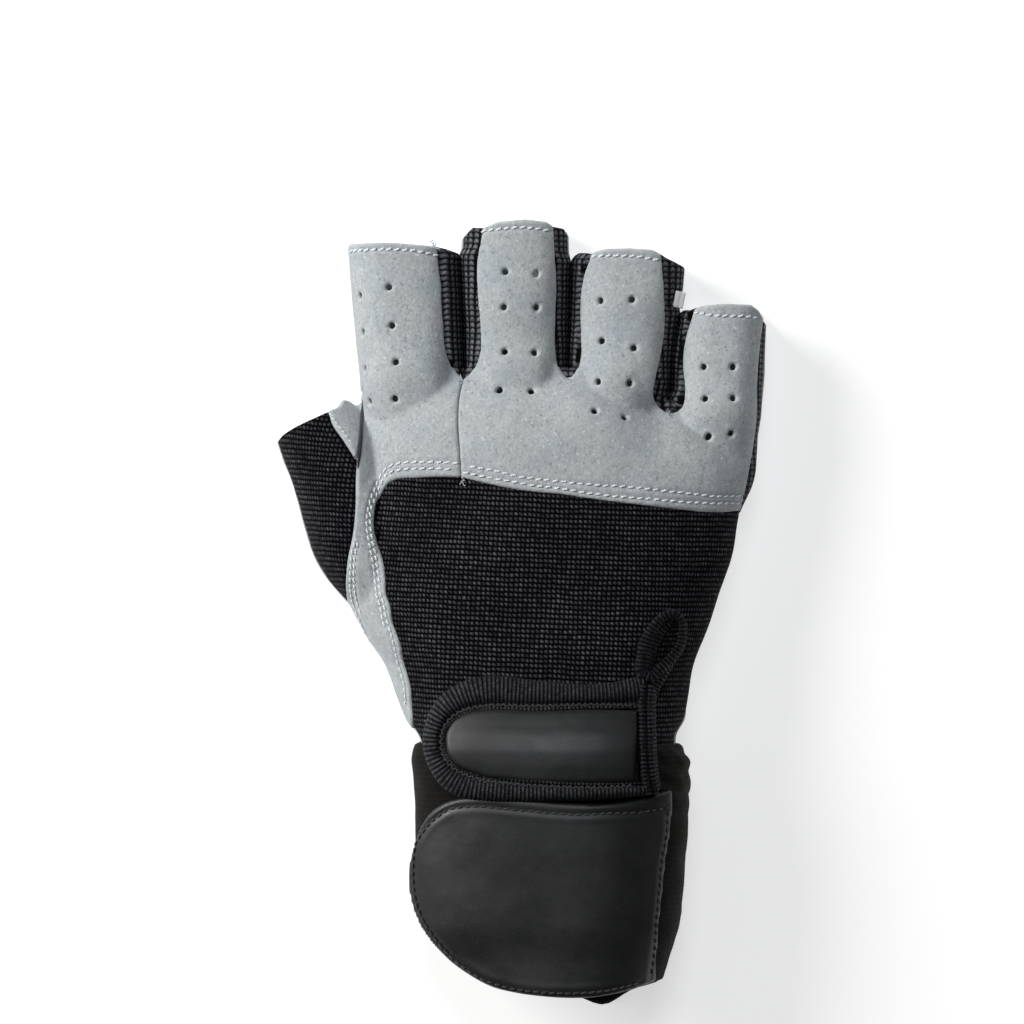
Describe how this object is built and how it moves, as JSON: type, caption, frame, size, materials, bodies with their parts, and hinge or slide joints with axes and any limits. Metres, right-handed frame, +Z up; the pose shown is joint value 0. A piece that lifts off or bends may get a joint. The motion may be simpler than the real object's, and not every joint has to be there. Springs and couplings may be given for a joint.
{
  "type": "weightlifting glove",
  "caption": "Fingerless weightlifting glove for the right hand, with suede finger backs, knit back of the hand, closure strap and wrist wrap.",
  "frame": {"origin": "under the middle of the glove's outline, on the surface that it lies on", "axes": "+X towards the little finger, +Y towards the fingertips, +Z up from the palm to the back of the hand"},
  "size_m": [0.1178, 0.1872, 0.0478],
  "materials": {
    "suede_grey": "napped grey suede",
    "knit_black": "black knit with rows of small slanted grains",
    "rib_black": "black ribbed elastic",
    "rubber_black": "smooth satin black",
    "wrap_black": "brownish black brushed elastic",
    "tag_white": "pale woven tag"
  },
  "bodies": {
    "root": {"index_panel": "suede_grey", "finger_panel": "suede_grey", "palm_panel": "suede_grey", "back_panel": "knit_black", "side_strip": "rib_black", "fourchette_index_middle": "rib_black", "fourchette_middle_ring": "rib_black", "fourchette_ring_little": "rib_black", "thumb_gusset": "suede_grey", "thumb_back": "knit_black", "wrist_wrap": "wrap_black", "wrap_flap": "rubber_black", "strap_tab": "rib_black", "strap_patch": "rubber_black", "strap_binding": "rib_black", "strap_anchor": "rib_black", "pull_loop": "rib_black", "seam_tag": "tag_white"}
  },
  "joints": []
}
